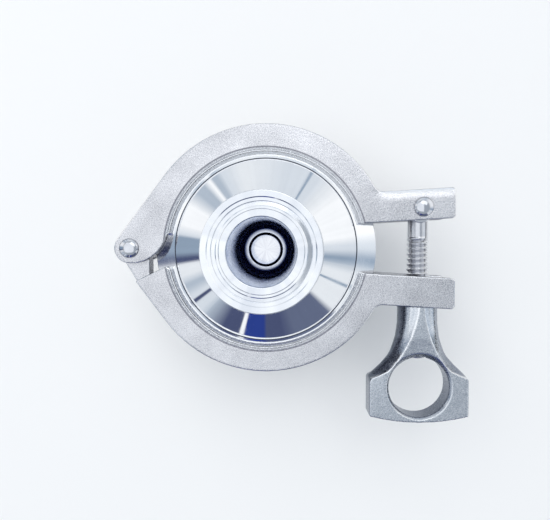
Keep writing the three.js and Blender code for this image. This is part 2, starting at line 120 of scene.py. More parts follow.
# ---------------------------------------------------------------- material helpers
class Nodes:
    """A material's node tree, with short calls for the nodes used here."""

    def __init__(self, name):
        self.material = bpy.data.materials.new(name)
        self.material.use_nodes = True
        self.tree = self.material.node_tree
        self.shader = self.tree.nodes["Principled BSDF"]
        texture = self.tree.nodes.new("ShaderNodeTexCoord")
        self.coords = texture.outputs["Object"]
        self.normals = texture.outputs["Normal"]

    def add(self, kind, **settings):
        node = self.tree.nodes.new(kind)
        for key, value in settings.items():
            setattr(node, key, value)
        return node

    def link(self, source, target):
        self.tree.links.new(source, target)

    def colour(self, source):
        self.link(source, self.shader.inputs["Base Color"])

    def roughness(self, source):
        self.link(source, self.shader.inputs["Roughness"])

    def relief(self, source):
        self.link(source, self.shader.inputs["Normal"])

    def metal(self):
        """Makes the surface a metal, and gives back the finished material."""
        self.shader.inputs["Metallic"].default_value = 1
        return self.material

    def noise(self, scale, detail=3, roughness=0.5, vector=None):
        node = self.add("ShaderNodeTexNoise")
        node.inputs["Scale"].default_value = scale
        node.inputs["Detail"].default_value = detail
        node.inputs["Roughness"].default_value = roughness
        self.link(vector or self.coords, node.inputs["Vector"])
        return node.outputs["Fac"]

    def remap(self, value, low, high, to_low, to_high):
        node = self.add("ShaderNodeMapRange")
        node.inputs["From Min"].default_value = low
        node.inputs["From Max"].default_value = high
        node.inputs["To Min"].default_value = to_low
        node.inputs["To Max"].default_value = to_high
        self.link(value, node.inputs["Value"])
        return node.outputs["Result"]

    def blend(self, fac, low, high):
        node = self.add("ShaderNodeMix", data_type="RGBA")
        self.link(fac, node.inputs["Factor"])
        for socket, value in ((6, low), (7, high)):
            if isinstance(value, tuple):
                node.inputs[socket].default_value = (*value, 1)
            else:
                self.link(value, node.inputs[socket])
        return node.outputs[2]

    def bump(self, height, distance, strength=1, normal=None):
        node = self.add("ShaderNodeBump")
        node.inputs["Strength"].default_value = strength
        node.inputs["Distance"].default_value = distance
        self.link(height, node.inputs["Height"])
        if normal:
            self.link(normal, node.inputs["Normal"])
        return node.outputs["Normal"]

    def math(self, operation, a, b=None):
        """One sum, whose terms are sockets or plain numbers."""
        node = self.add("ShaderNodeMath", operation=operation)
        for socket, value in ((0, a), (1, b)):
            if value is None:
                continue
            if isinstance(value, (int, float)):
                node.inputs[socket].default_value = value
            else:
                self.link(value, node.inputs[socket])
        return node.outputs[0]

    def distance(self, first, second):
        """Distance in metres from a line, each pair being an axis number and its place."""
        xyz = self.add("ShaderNodeSeparateXYZ")
        self.link(self.coords, xyz.inputs[0])
        u, v = (self.math("SUBTRACT", xyz.outputs[axis], spot) for axis, spot in (first, second))
        squares = self.math("ADD", self.math("MULTIPLY", u, u), self.math("MULTIPLY", v, v))
        return self.math("SQRT", squares)

    def radius(self):
        """Distance from the valve's axis, in metres."""
        return self.distance((0, AXIS.x), (1, AXIS.y))

    def painted_fans(self):
        """A slow noise that changes only with the direction from the valve's axis, used for painted
        fan-shaped highlights.
        """
        offset = self.add("ShaderNodeVectorMath", operation="SUBTRACT")
        self.link(self.coords, offset.inputs[0])
        offset.inputs[1].default_value = (AXIS.x, AXIS.y, 0)
        flat = self.add("ShaderNodeVectorMath", operation="MULTIPLY")
        self.link(offset.outputs[0], flat.inputs[0])
        flat.inputs[1].default_value = (1, 1, 0)
        unit = self.add("ShaderNodeVectorMath", operation="NORMALIZE")
        self.link(flat.outputs[0], unit.inputs[0])
        return self.noise(2.2, 2, 0.5, unit.outputs[0])


def turned_steel(name, dark, light, roughness, ring_pitch=0.12 * MM, ring_depth=0.0012 * MM,
                 anisotropy=0.5, painted_fans=0):
    """Lathe-turned and polished steel: fine rings, and painted fan-shaped highlights, round the
    valve's axis.
    """
    n = Nodes(name)
    radius = n.radius()
    xyz = n.add("ShaderNodeSeparateXYZ")
    n.link(n.coords, xyz.inputs[0])
    along = n.math("ADD", radius, xyz.outputs[2])
    rings = n.add("ShaderNodeTexNoise", noise_dimensions="1D")
    rings.inputs["Scale"].default_value = 1 / ring_pitch
    rings.inputs["Detail"].default_value = 3
    n.link(along, rings.inputs["W"])
    cloud = n.noise(90, 4, 0.6)
    # Painted highlight: fan-shaped streaks of tone, like the reflections a turned face shows.
    tone = n.math("ADD", cloud, n.remap(n.painted_fans(), 0.35, 0.65, -painted_fans, painted_fans)) if painted_fans else cloud
    n.colour(n.blend(tone, dark, light))
    ringed = n.remap(rings.outputs["Fac"], 0.3, 0.7, roughness * 0.7, roughness * 1.2)
    n.roughness(n.math("ADD", ringed, n.remap(cloud, 0.35, 0.65, -0.02, 0.03)))
    n.relief(n.bump(rings.outputs["Fac"], ring_depth))
    n.shader.inputs["Anisotropic"].default_value = anisotropy
    tangent = n.add("ShaderNodeTangent", direction_type="RADIAL", axis="Z")
    n.link(tangent.outputs[0], n.shader.inputs["Tangent"])
    return n.metal()


def cast_steel(name, dark, light, side, roughness, grain=2000, depth=0.06 * MM, painted_edge_highlight=1,
               painted_glint_strength=0.8):
    """Investment casting: grainy blasted faces with painted glints, smoother edges and lip with a
    painted highlight, painted shade on the darker sides, and a painted dark line by the lip.
    """
    n = Nodes(name)
    fine = n.noise(grain, 3, 0.65)
    coarse = n.noise(grain * 0.35, 2, 0.5)
    cloud = n.noise(70, 4, 0.55)
    speckle = n.math("MULTIPLY", n.remap(fine, 0.36, 0.64, 0, 1), 0.6)
    tone = n.math("ADD", speckle, n.math("MULTIPLY", n.remap(cloud, 0.3, 0.7, 0, 1), 0.4))
    # Painted glints: near-white specks mixed into the faces' colour, standing in for light off the
    # blasted grain.
    painted_glint = n.remap(n.noise(grain * 1.3, 1, 0.4), 0.61, 0.7, 0, painted_glint_strength)
    face = n.blend(painted_glint, n.blend(tone, dark, light), (1.0, 1.0, 1.0))
    # How far the surface faces up or down: 1 on the flat faces, 0 on the sides.
    normal = n.add("ShaderNodeSeparateXYZ")
    n.link(n.normals, normal.inputs[0])
    level = n.math("ABSOLUTE", normal.outputs[2])
    # Painted shade: the sides and the outer part of each rounded edge take the side colour, less of
    # it near the lip.
    painted_side_shade = n.remap(level, 0.55, 0.82, 1, 0)
    outside = n.remap(n.radius(), (LIP + 0.1) * MM, (LIP + 1.3) * MM, 0.45, 1)
    skin = n.blend(n.math("MULTIPLY", painted_side_shade, outside), face, side)
    # A casting's edges are rounded, so a face that leans is an edge: it gets a painted highlight and
    # a lower roughness.
    edge_highlight = n.remap(level, 0.93, 0.99, painted_edge_highlight, 0)
    edge = n.math("MULTIPLY", edge_highlight, n.remap(level, 0.7, 0.86, 0, 1))
    # Painted highlight stored on the mesh as an attribute, where a piece has one.
    stored_highlight = n.add("ShaderNodeAttribute", attribute_name="painted_highlight").outputs["Fac"]
    highlight_and_wear = n.math("MAXIMUM", edge, stored_highlight)
    # Painted highlight on the inner lip.
    lip = n.remap(n.radius(), (LIP - 0.2) * MM, LIP * MM, 1, 0)
    highlight_and_wear = n.math("MAXIMUM", highlight_and_wear, lip)
    # Painted shade: a thin dark line just outside the lip, on faces turned up or down.
    from_line = n.math("ABSOLUTE", n.math("SUBTRACT", n.radius(), (LIP + 0.2) * MM))
    near_line = n.remap(from_line, 0.1 * MM, 0.32 * MM, 0.8, 0)
    lip_crease_shade = n.math("MULTIPLY", near_line, n.remap(level, 0.7, 0.9, 0, 1))
    highlighted = n.blend(highlight_and_wear, skin, (0.97, 0.97, 0.98))
    n.colour(n.blend(lip_crease_shade, highlighted, (0.16, 0.16, 0.2)))
    matt = n.remap(fine, 0.3, 0.7, roughness - 0.08, roughness + 0.1)
    n.roughness(n.math("MULTIPLY", matt, n.remap(highlight_and_wear, 0, 1, 1, 0.55)))
    lumps = n.bump(coarse, depth * 1.4, 0.5)
    n.relief(n.bump(fine, depth, 0.8, lumps))
    return n.metal()


def bore_sweep_shade(name):
    """The bright shoulder round the throat, with dark bluish painted shade where it sweeps up into
    the bore.
    """
    n = Nodes(name)
    bore_shade = n.remap(n.radius(), 6.15 * MM, 7.4 * MM, 0, 1)
    cloud = n.noise(600, 3, 0.6)
    dark = n.blend(cloud, (0.013, 0.015, 0.05), (0.045, 0.05, 0.13))
    n.colour(n.blend(bore_shade, (0.8, 0.82, 0.88), dark))
    n.roughness(n.remap(cloud, 0.3, 0.7, 0.2, 0.32))
    return n.metal()


def shaded_bore_wall(name):
    """The drawn tube's inside, with painted shade that grows bluer and darker towards its inner end.
    """
    n = Nodes(name)
    xyz = n.add("ShaderNodeSeparateXYZ")
    n.link(n.coords, xyz.inputs[0])
    low, middle, high = (MID_Z + z * MM for z in (BORE_END, 19, 40))
    inner = n.remap(xyz.outputs[2], low, middle, 0, 1)
    outer = n.remap(xyz.outputs[2], middle, high, 0, 1)
    upper = n.blend(outer, (0.3, 0.39, 0.68), (0.66, 0.74, 0.88))
    n.colour(n.blend(inner, (0.06, 0.05, 0.14), upper))
    n.roughness(n.remap(n.noise(400, 3, 0.6), 0.3, 0.7, 0.16, 0.28))
    return n.metal()


def rolled_thread(name, root, crest):
    """A painted highlight on the crests over painted shade in the thread roots."""
    n = Nodes(name)
    off_axis = n.distance((0, AXIS.x + PIVOT.x * MM), (2, MID_Z))
    # Painted shade at the roots, painted highlight at the crests.
    rise = n.remap(off_axis, root * MM, crest * MM, 0, 1)
    cloud = n.noise(500, 3, 0.5)
    low = n.blend(cloud, (0.42, 0.43, 0.47), (0.56, 0.57, 0.61))
    high = n.blend(cloud, (0.82, 0.82, 0.84), (0.97, 0.97, 0.98))
    n.colour(n.blend(rise, low, high))
    n.roughness(n.remap(cloud, 0.3, 0.7, 0.12, 0.24))
    return n.metal()


def bright_steel(name, dark, light, roughness, scratch=900):
    """Bright drawn or rolled steel with fine marks."""
    n = Nodes(name)
    marks = n.noise(scratch, 4, 0.6)
    cloud = n.noise(220, 3, 0.5)
    n.colour(n.blend(cloud, dark, light))
    n.roughness(n.remap(marks, 0.3, 0.7, roughness * 0.7, roughness * 1.4))
    n.relief(n.bump(marks, 0.012 * MM, 0.5))
    return n.metal()


def polymer(name, dark, light, roughness):
    """Moulded or machined rubber and plastic with a fine matt skin."""
    n = Nodes(name)
    skin = n.noise(700, 4, 0.6)
    cloud = n.noise(150, 3, 0.5)
    n.colour(n.blend(cloud, dark, light))
    n.roughness(n.remap(skin, 0.3, 0.7, roughness - 0.08, roughness + 0.1))
    n.relief(n.bump(skin, 0.02 * MM, 0.6))
    return n.material


POLISHED = turned_steel("polished_body", (0.78, 0.79, 0.81), (0.88, 0.885, 0.895), roughness=0.05)
FACE = turned_steel("turned_face", (0.74, 0.76, 0.8), (0.95, 0.955, 0.965), roughness=0.13,
                    ring_pitch=0.3 * MM, ring_depth=0.001 * MM, anisotropy=0.4, painted_fans=0.4)
FLANGE = turned_steel("machined_flange", (0.86, 0.87, 0.885), (0.95, 0.955, 0.965), roughness=0.1,
                      ring_pitch=0.2 * MM, ring_depth=0.0005 * MM, anisotropy=0.3)
BORE_SWEEP_SHADE = bore_sweep_shade("bore_sweep_shade")
SHADED_BORE_WALL = shaded_bore_wall("shaded_bore_wall")
# Painted shade: dark steel for the narrow step between the cone and the flange.
CREASE_SHADE = turned_steel("painted_crease_shade", (0.18, 0.2, 0.25), (0.28, 0.3, 0.35), roughness=0.25)
DISC = turned_steel("turned_disc", (0.7, 0.7, 0.74), (0.98, 0.98, 0.98), roughness=0.12,
                    ring_pitch=0.16 * MM, ring_depth=0.001 * MM, painted_fans=0.3)
# In both castings the side colour is painted shade.
CASTING = cast_steel("blasted_casting", (0.44, 0.44, 0.465), (0.94, 0.93, 0.95),
                     side=(0.29, 0.295, 0.33), roughness=0.26, grain=2600)
NUT_CASTING = cast_steel("blasted_nut", (0.5, 0.535, 0.585), (0.76, 0.79, 0.83),
                         side=(0.25, 0.275, 0.33), roughness=0.24, grain=1700, depth=0.08 * MM,
                         painted_edge_highlight=0.35, painted_glint_strength=0.35)
THREAD = rolled_thread("rolled_thread", root=3.25, crest=3.9)
PIN = bright_steel("polished_pin", (0.55, 0.56, 0.6), (0.82, 0.83, 0.86), 0.1, scratch=500)
BOLT = bright_steel("rolled_bolt", (0.78, 0.78, 0.8), (0.92, 0.92, 0.93), 0.09)
WIRE = bright_steel("drawn_wire", (0.5, 0.5, 0.52), (0.7, 0.7, 0.72), 0.25)
GASKET = polymer("gasket_rubber", (0.7, 0.69, 0.65), (0.82, 0.81, 0.77), 0.5)
SEAL = polymer("seal_rubber", (0.008, 0.008, 0.009), (0.02, 0.02, 0.022), 0.4)
BUSH = polymer("bush_polymer", (0.78, 0.78, 0.76), (0.88, 0.88, 0.86), 0.4)


# ---------------------------------------------------------------- mesh helpers
def piece(name, mesh, body, materials, node):
    """A finished mesh as a piece of the object, standing in for a CAD node."""
    obj = bpy.data.objects.new(name, mesh)
    scene.collection.objects.link(obj)
    for material in materials:
        mesh.materials.append(material)
    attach(obj, body)
    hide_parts(node)
    return obj


def rounded(profile, steps=5):
    """A profile of (radius, height, corner radius) as points, with every corner rounded."""
    points = []
    count = len(profile)
    for i, (r, z, corner) in enumerate(profile):
        here = Vector((r, z))
        before = Vector(profile[i - 1][:2]) - here
        after = Vector(profile[(i + 1) % count][:2]) - here
        if corner <= 0 or before.length < 1e-9 or after.length < 1e-9:
            points.append(here)
            continue
        angle = before.angle(after)
        # Two neighbouring corners each take less than half of the side between them.
        cut = min(corner / math.tan(angle / 2), before.length * 0.48, after.length * 0.48)
        start = here + before.normalized() * cut
        end = here + after.normalized() * cut
        for k in range(steps + 1):
            t = k / steps
            points.append(start * (1 - t) ** 2 + here * 2 * t * (1 - t) + end * t**2)
    return points


def points_of(*pairs):
    """Pairs of radius and height as lathe points with sharp corners."""
    return [Vector(pair) for pair in pairs]


def lathe_mesh(name, points, segments, zones=None, to_world=None):
    """A closed solid of revolution. zones(midpoint) picks each ring's material."""
    to_world = to_world or place
    bm = bmesh.new()
    rings = []
    for p in points:
        if p.x < 1e-6:
            rings.append([bm.verts.new(to_world(0, 0, p.y))])
            continue
        ring = []
        for s in range(segments):
            a = 2 * math.pi * s / segments
            ring.append(bm.verts.new(to_world(p.x * math.cos(a), p.x * math.sin(a), p.y)))
        rings.append(ring)
    closed = len(rings[0]) > 1
    pairs = list(zip(range(len(rings)), [*range(1, len(rings)), 0]))
    for i, j in pairs if closed else pairs[:-1]:
        a, b = rings[i], rings[j]
        middle = (points[i] + points[j]) / 2
        for s in range(segments):
            t = (s + 1) % segments
            corners = [a[s % len(a)], a[t % len(a)], b[t % len(b)], b[s % len(b)]]
            unique = list(dict.fromkeys(corners))
            if len(unique) < 3:
                continue
            face = bm.faces.new(unique)
            face.smooth = True
            face.material_index = zones(middle) if zones else 0
    bmesh.ops.recalc_face_normals(bm, faces=bm.faces)
    mesh = bpy.data.meshes.new(name)
    bm.to_mesh(mesh)
    bm.free()
    mesh.set_sharp_from_angle(angle=math.radians(50))
    return mesh


def about_z(x, y):
    """Turns lathe coordinates into places about a vertical line through x, y."""
    return lambda u, v, w: place(x + u, y + v, w)


def about_bolt(u, v, w):
    """Turns lathe coordinates into places about the swing bolt, w along the row's Y."""
    return place(PIVOT.x + u, w, v)


def tube_mesh(name, rings, bm, smooth=True):
    """Rings of vertices, joined in order and closed at both ends."""
    size = len(rings[0])
    for a, b in zip(rings, rings[1:]):
        for s in range(size):
            t = (s + 1) % size
            bm.faces.new((a[s], a[t], b[t], b[s])).smooth = smooth
    bm.faces.new(rings[0])
    bm.faces.new(rings[-1])
    bmesh.ops.recalc_face_normals(bm, faces=bm.faces)
    if not smooth:
        bmesh.ops.triangulate(bm, faces=[f for f in bm.faces if len(f.verts) > 4])
    mesh = bpy.data.meshes.new(name)
    bm.to_mesh(mesh)
    bm.free()
    return mesh


def shade_smooth(mesh):
    for polygon in mesh.polygons:
        polygon.use_smooth = True


def clone(node, name, body, material, bevel=0.2):
    """A CAD node's mesh as a piece with its small edges broken."""
    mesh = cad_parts[node].data.copy()
    mesh.name = name
    mesh.materials.clear()
    bm = bmesh.new()
    bm.from_mesh(mesh)
    bmesh.ops.remove_doubles(bm, verts=bm.verts, dist=1e-7)
    flat = math.radians(0.5)
    bmesh.ops.dissolve_limit(bm, angle_limit=flat, verts=bm.verts, edges=bm.edges)
    bm.to_mesh(mesh)
    bm.free()
    obj = piece(name, mesh, body, [material], node)
    modifier = obj.modifiers.new("edge", "BEVEL")
    modifier.width = bevel * MM
    modifier.segments = 3
    modifier.limit_method = "ANGLE"
    modifier.angle_limit = math.radians(35)
    bake(obj)
    # The bevel can leave slivers of no area behind.
    bm = bmesh.new()
    bm.from_mesh(obj.data)
    bmesh.ops.dissolve_degenerate(bm, edges=bm.edges, dist=0.001 * MM)
    bm.to_mesh(obj.data)
    bm.free()
    shade_smooth(obj.data)
    obj.data.set_sharp_from_angle(angle=math.radians(40))
    return obj


def bake(obj):
    """Applies an object's modifiers to its mesh."""
    bpy.context.view_layer.update()
    graph = bpy.context.evaluated_depsgraph_get()
    made = bpy.data.meshes.new_from_object(obj.evaluated_get(graph))
    obj.modifiers.clear()
    old = obj.data
    obj.data = made
    bpy.data.meshes.remove(old)


def soften(obj, voxel, rounds, keep):
    """Gives a hard solid the rounded edges of a casting, then thins out its flat areas."""
    remesh = obj.modifiers.new("remesh", "REMESH")
    remesh.mode = "VOXEL"
    remesh.voxel_size = voxel * MM
    smooth = obj.modifiers.new("smooth", "SMOOTH")
    smooth.factor = 0.5
    smooth.iterations = rounds
    thin = obj.modifiers.new("thin", "DECIMATE")
    thin.ratio = keep
    bake(obj)
    shade_smooth(obj.data)


# ---------------------------------------------------------------- valve body
def ferrule_face(sign):
    """The end face between rim and bore, with its gasket groove. sign is +1 at the inlet."""
    end = HALF_LENGTH * sign
    return [
        (END_RIM, end - 2.85 * sign, 0.25),
        (END_RIM, end, 0.3),
        (15.12, end, 0.03),
        (14.85, end - 0.2 * sign, 0.05),
        (13.95, end - 0.28 * sign, 0.02),
        (13.76, end - 0.45 * sign, 0.02),
        (13.57, end - 0.28 * sign, 0.02),
        (12.65, end - 0.2 * sign, 0.05),
        (12.4, end, 0.03),
        (11.82, end, 0.02),
        (11.7, end - 0.06 * sign, 0.02),
        (11.58, end, 0.02),
        (BORE, end, 0.35),
    ]


def cone_height(radius, wall=0.0):
    """Height of the body's cone above the mid-plane, less the wall under it."""
    return CONE_FOOT - wall + (CONE_RIM - radius) * CONE_SLOPE


def body_outside(sign):
    """The outside from the joint's gasket groove to the bore. sign is +1 at the inlet."""
    return [
        (33.55, JOINT_FACE * sign, 0.15),
        (34.0, 1.8 * sign, 0.3),
        (35.25, 2.2 * sign, 0.6),
        (36.5, 1.8 * sign, 0.3),
        (36.95, JOINT_FACE * sign, 0.15),
        (FLANGE_RIM, JOINT_FACE * sign, 0.3),
        (FLANGE_RIM, RIM_TOP * sign, 0.35),
        (FLANGE_EDGE, 6.22 * sign, 0.04),
        (FLANGE_EDGE - 0.2, 6.02 * sign, 0.03),
        (CONE_RIM, CONE_FOOT * sign, 0.05),
        (NECK, cone_height(NECK) * sign, 3.5),
        (NECK, 43.25 * sign, 0.8),
        *ferrule_face(sign),
    ]


def is_end_face(middle):
    """True on the end ferrule's face, at either end of the valve."""
    return abs(middle.y) > HALF_LENGTH - FACE_DEPTH and middle.x > BORE + 0.15


def outlet_zone(middle):
    """Picks a ring's place in [POLISHED, FACE]."""
    return 1 if is_end_face(middle) else 0


INLET_MATERIALS = [POLISHED, FACE, BORE_SWEEP_SHADE, SHADED_BORE_WALL, FLANGE, CREASE_SHADE]


def inlet_zone(middle):
    """Picks a ring's place in INLET_MATERIALS."""
    if is_end_face(middle):
        return INLET_MATERIALS.index(FACE)
    if middle.x < BORE and SHOULDER - 0.1 < middle.y < BORE_END:
        return INLET_MATERIALS.index(BORE_SWEEP_SHADE)
    if middle.x < BORE + 0.1 and middle.y > BORE_END:
        return INLET_MATERIALS.index(SHADED_BORE_WALL)
    above_rim = middle.y > RIM_TOP - 0.1
    if above_rim and middle.x > FLANGE_EDGE + 0.02:
        return INLET_MATERIALS.index(FLANGE)
    if above_rim and middle.x > CONE_RIM:
        return INLET_MATERIALS.index(CREASE_SHADE)
    return INLET_MATERIALS.index(POLISHED)


def shoulder_sweep(steps=20):
    """The quarter ellipse from the bore's wall down to the flat shoulder."""
    inner = 6.6
    across, down = BORE - inner, BORE_END - SHOULDER
    angles = (-math.pi / 2 * k / steps for k in range(steps + 1))
    return [(inner + across * math.cos(a), BORE_END + down * math.sin(a), 0) for a in angles]


def build_inlet():
    throat = 5.9
    seat = [(throat, SHOULDER, 0.12), (throat, 4.5, 0.1), (9.55, JOINT_FACE, 0.2)]
    points = rounded([*body_outside(1), *shoulder_sweep(), *seat])
    mesh = lathe_mesh("inlet_shell", points, 224, inlet_zone)
    piece("inlet_shell", mesh, "valve", INLET_MATERIALS, "inlet_body")


def build_outlet():
    """The other half, with a chamber under its cone and a ledge that holds the guide."""
    ledge, wall, chamber, mouth = 12.0, 2.3, 19.2, 29.4
    ledge_inner = CONE_RIM - (ledge - cone_height(CONE_RIM, wall)) / CONE_SLOPE
    inside = [
        (BORE, -cone_height(BORE, wall), 0.8),
        (ledge_inner, -ledge, 0.1),
        (chamber, -ledge, 0.1),
        (chamber, -cone_height(chamber, wall), 0.2),
        (mouth, -cone_height(mouth, wall), 0.6),
        (30.1, -JOINT_FACE, 0.2),
    ]
    points = rounded([*body_outside(-1), *inside])
    mesh = lathe_mesh("outlet_shell", points, 192, outlet_zone)
    piece("outlet_shell", mesh, "valve", [POLISHED, FACE], "outlet_body")


def build_gasket():
    side = [
        (30.3, 0.75, 0.15),
        (33.9, 0.75, 0.2),
        (34.6, 1.6, 0.3),
        (35.25, 1.85, 0.4),
        (35.9, 1.6, 0.3),
        (36.6, 0.75, 0.2),
        (38.5, 0.75, 0.2),
    ]
    other = [(r, -z, corner) for r, z, corner in reversed(side)]
    mesh = lathe_mesh("gasket_ring", rounded([*side, *other]), 128)
    piece("gasket_ring", mesh, "valve", [GASKET], "body_gasket")


# ---------------------------------------------------------------- poppet and guide
def disc_zone(middle):
    """Picks a ring's place in [DISC, POLISHED]: the disc's own face, or what is behind it."""
    return 0 if middle.y > 6.6 else 1


def build_poppet():
    """The disc and cone of the head, with the O-ring's groove between them."""
    disc, groove, stem = 5.16, 4.05, 2.5
    profile = [
        (0, 6.9, 0),
        (disc, 6.9, 0.18),
        (disc, 4.9, 0.05),
        (groove, 4.9, 0.05),
        (groove, 3.0, 0.05),
        (6.9, 3.0, 0.15),
        (11, -1.1, 0.3),
        (11, -2.6, 0.3),
        (10.5, -3.1, 0.2),
        (5.9, POPPET_BACK, 0.3),
        (4.0, POPPET_BACK, 0.15),
        (4.0, -5.0, 0.15),
        (stem, -5.0, 0.1),
        (stem, 0, 0.05),
        (0, 0, 0),
    ]
    mesh = lathe_mesh("poppet_disc", rounded(profile), 128, disc_zone)
    piece("poppet_disc", mesh, "poppet", [DISC, POLISHED], "poppet_head")
    middle, height, half_width, sides = 5, 3.95, 0.9, 24
    angles = (2 * math.pi * k / sides for k in range(sides))
    ring = points_of(*((middle + half_width * math.cos(a), height + half_width * math.sin(a))
                       for a in angles))
    mesh = lathe_mesh("poppet_o_ring", ring, 96)
    piece("poppet_o_ring", mesh, "poppet", [SEAL], "poppet_seal")
    clone("poppet_stem", "guided_stem", "poppet", BOLT, 0.1)
    clone("stem_clip", "retaining_clip", "poppet", WIRE, 0.08)


def build_guide():
    clone("guide_spider", "three_arm_guide", "valve", BOLT, 0.2)
    clone("guide_bush", "bush_liner", "valve", BUSH, 0.1)


def build_spring():
    """Round wire wound between the guide hub and the back of the poppet."""
    turns, radius, wire, clearance = 3.5, 4.75, 0.55, 0.65
    low, high = HUB_TOP + clearance, POPPET_BACK - clearance
    steps, sides = 220, 14
    flat_end = 0.12
    bm = bmesh.new()
    rings = []
    for i in range(steps + 1):
        t = i / steps
        a = t * turns * 2 * math.pi
        # The end turns lie flat before the wire climbs.
        climb = min(1, max(0, (t - flat_end) / (1 - 2 * flat_end)))
        z = low + (high - low) * climb
        ring = []
        for k in range(sides):
            b = 2 * math.pi * k / sides
            r = radius + wire * math.cos(b)
            ring.append(bm.verts.new(place(math.cos(a) * r, math.sin(a) * r, z + wire * math.sin(b))))
        rings.append(ring)
    mesh = tube_mesh("coil_spring", rings, bm)
    spring = piece("coil_spring", mesh, "valve", [WIRE], "return_spring")
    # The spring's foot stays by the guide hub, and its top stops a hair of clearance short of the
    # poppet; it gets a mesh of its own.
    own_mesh(spring)


# ---------------------------------------------------------------- clamp
# The grid that the castings are remeshed on before their edges are smoothed.
CASTING_VOXEL = 0.24


def build_jaws():
    for node in ("upper_jaw", "lower_jaw"):
        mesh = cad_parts[node].data.copy()
        mesh.materials.clear()
        obj = piece("cast_" + node, mesh, node, [CASTING], node)
        soften(obj, CASTING_VOXEL, rounds=8, keep=0.4)
        if node == "upper_jaw":
            roll_off_ear(obj)


def roll_off_ear(obj):
    """Curves both faces of the upper ear away towards its outer edge, and stores a painted highlight
    on the curved band.
    """
    reach, drop, highlight_strength = 3.8, 0.75, 1.6
    root, blend, core = 36, 8, 5
    # The ear's outer edge is this far above the parting where it starts, and climbs gently.
    edge_start, edge_rise, edge_slope = 35, 19.3, 0.057
    # The painted highlight is stored on the mesh for the casting's colour.
    painted_highlight = obj.data.attributes.new("painted_highlight", "FLOAT", "POINT")
    for vertex in obj.data.vertices:
        x, y, z = ((vertex.co - place(0, 0, 0)) / MM)[:]
        edge = PARTING + edge_rise + edge_slope * (x - edge_start)
        inwards = (edge - y) / reach
        if x > root and inwards < 1 and abs(z) > core:
            start = min(1, (x - root) / blend)
            amount = start * start * (3 - 2 * start) * (1 - max(0, inwards)) ** 2
            share = min(1, (abs(z) - core) / (JAW_HALF - core))
            vertex.co.z -= math.copysign(drop * amount * share, z) * MM
            painted_highlight.data[vertex.index].value = min(1, highlight_strength * amount) * share


def build_rivet(name, node, spot):
    """A plain shaft with the same domed head at both ends."""
    shaft, collar, head = 2.9, 3.3, 3.35
    rise, brim, top = JAW_HALF + 0.05, JAW_HALF + 0.4, JAW_HALF + 1.55
    angles = (math.pi / 2 * k / 10 for k in range(10))
    dome = [(head * math.cos(a), brim + (top - brim) * math.sin(a), 0) for a in angles]
    half = [(shaft, rise, 0.05), (collar, rise, 0.1), *dome, (0, top, 0)]
    mirrored = [(r, -z, corner) for r, z, corner in reversed(half)]
    mesh = lathe_mesh(name, rounded([*mirrored, *half]), 64, None, about_z(*spot))
    piece(name, mesh, "upper_jaw", [PIN], node)


def rod_radius(w, turn):
    """The swing bolt's radius at height w and at that share of a turn round it."""
    crest, root, shank, pitch = 4.0, 3.2, 3.55, 1.8
    plain_end, run_out = 4.5, 1.6
    tip, tip_slope = 2.9, 1.1
    phase = (w / pitch + turn) % 1
    # The flank's slope is cut off at 1 for a flat crest and at 0 for a flat root.
    peak, flank_slope = 1.12, 2.35
    flank = min(1, max(0, peak - abs(phase - 0.5) * flank_slope))
    threaded = root + (crest - root) * flank
    fade = min(1, max(0, (plain_end - w) / run_out))
    r = shank * (1 - fade) + threaded * fade
    return min(r, tip + max(0, w - BOLT_END) * tip_slope)


def build_bolt():
    """An eye on the pivot, a plain shank and a rolled coarse thread."""
    top, step, around = PIVOT.y - 3.4, 0.15, 56
    count = int((top - BOLT_END) / step)
    bm = bmesh.new()
    rings = []
    for i in range(count + 1):
        w = top + (BOLT_END - top) * i / count
        ring = []
        for s in range(around):
            a = 2 * math.pi * s / around
            r = rod_radius(w, s / around)
            ring.append(bm.verts.new(about_bolt(r * math.cos(a), r * math.sin(a), w)))
        rings.append(ring)
    rod = tube_mesh("rod", rings, bm)
    piece("threaded_rod", rod, "swing_bolt", [THREAD], "swing_bolt")
    hole, outside, half = 3.05, 5.35, 4.3
    profile = [(hole, -half, 0.2), (outside, -half, 0.5), (outside, half, 0.5), (hole, half, 0.2)]
    eye = lathe_mesh("bolt_eye", rounded(profile), 72, None, about_z(*PIVOT))
    piece("bolt_eye", eye, "swing_bolt", [BOLT], "swing_bolt")


def build_washer():
    clone("nut_washer", "flat_washer", "nut_washer", PIN, 0.12)


# The wing nut down its length, as half-sizes: how far below the top, the silhouette, the
# flat of the raised web, and the thickness.
NUT_SECTIONS = (
    (0.0, 6.95, 0.9, 6.85),
    (3.0, 6.95, 1.1, 6.8),
    (6.8, 7.0, 2.0, 6.6),
    (11.6, 7.7, 3.5, 6.2),
    (14.0, 8.5, 4.6, 5.8),
    (17.0, 9.6, 6.2, 5.4),
    (18.7, 10.6, 7.2, 5.2),
    (21.6, 13.1, 9.2, 4.9),
    (23.4, 15.0, 11.0, 4.7),
    (25.0, 16.7, 14.4, 4.6),
    (26.0, 17.5, 17.0, 4.6),
    (27.0, 17.6, 17.2, 4.6),
    (33.0, 17.6, 17.25, 4.6),
    (39.5, 17.6, 17.2, 4.6),
)
# Where the nut's finger hole is centred, along the bolt.
FINGER_HOLE = -49


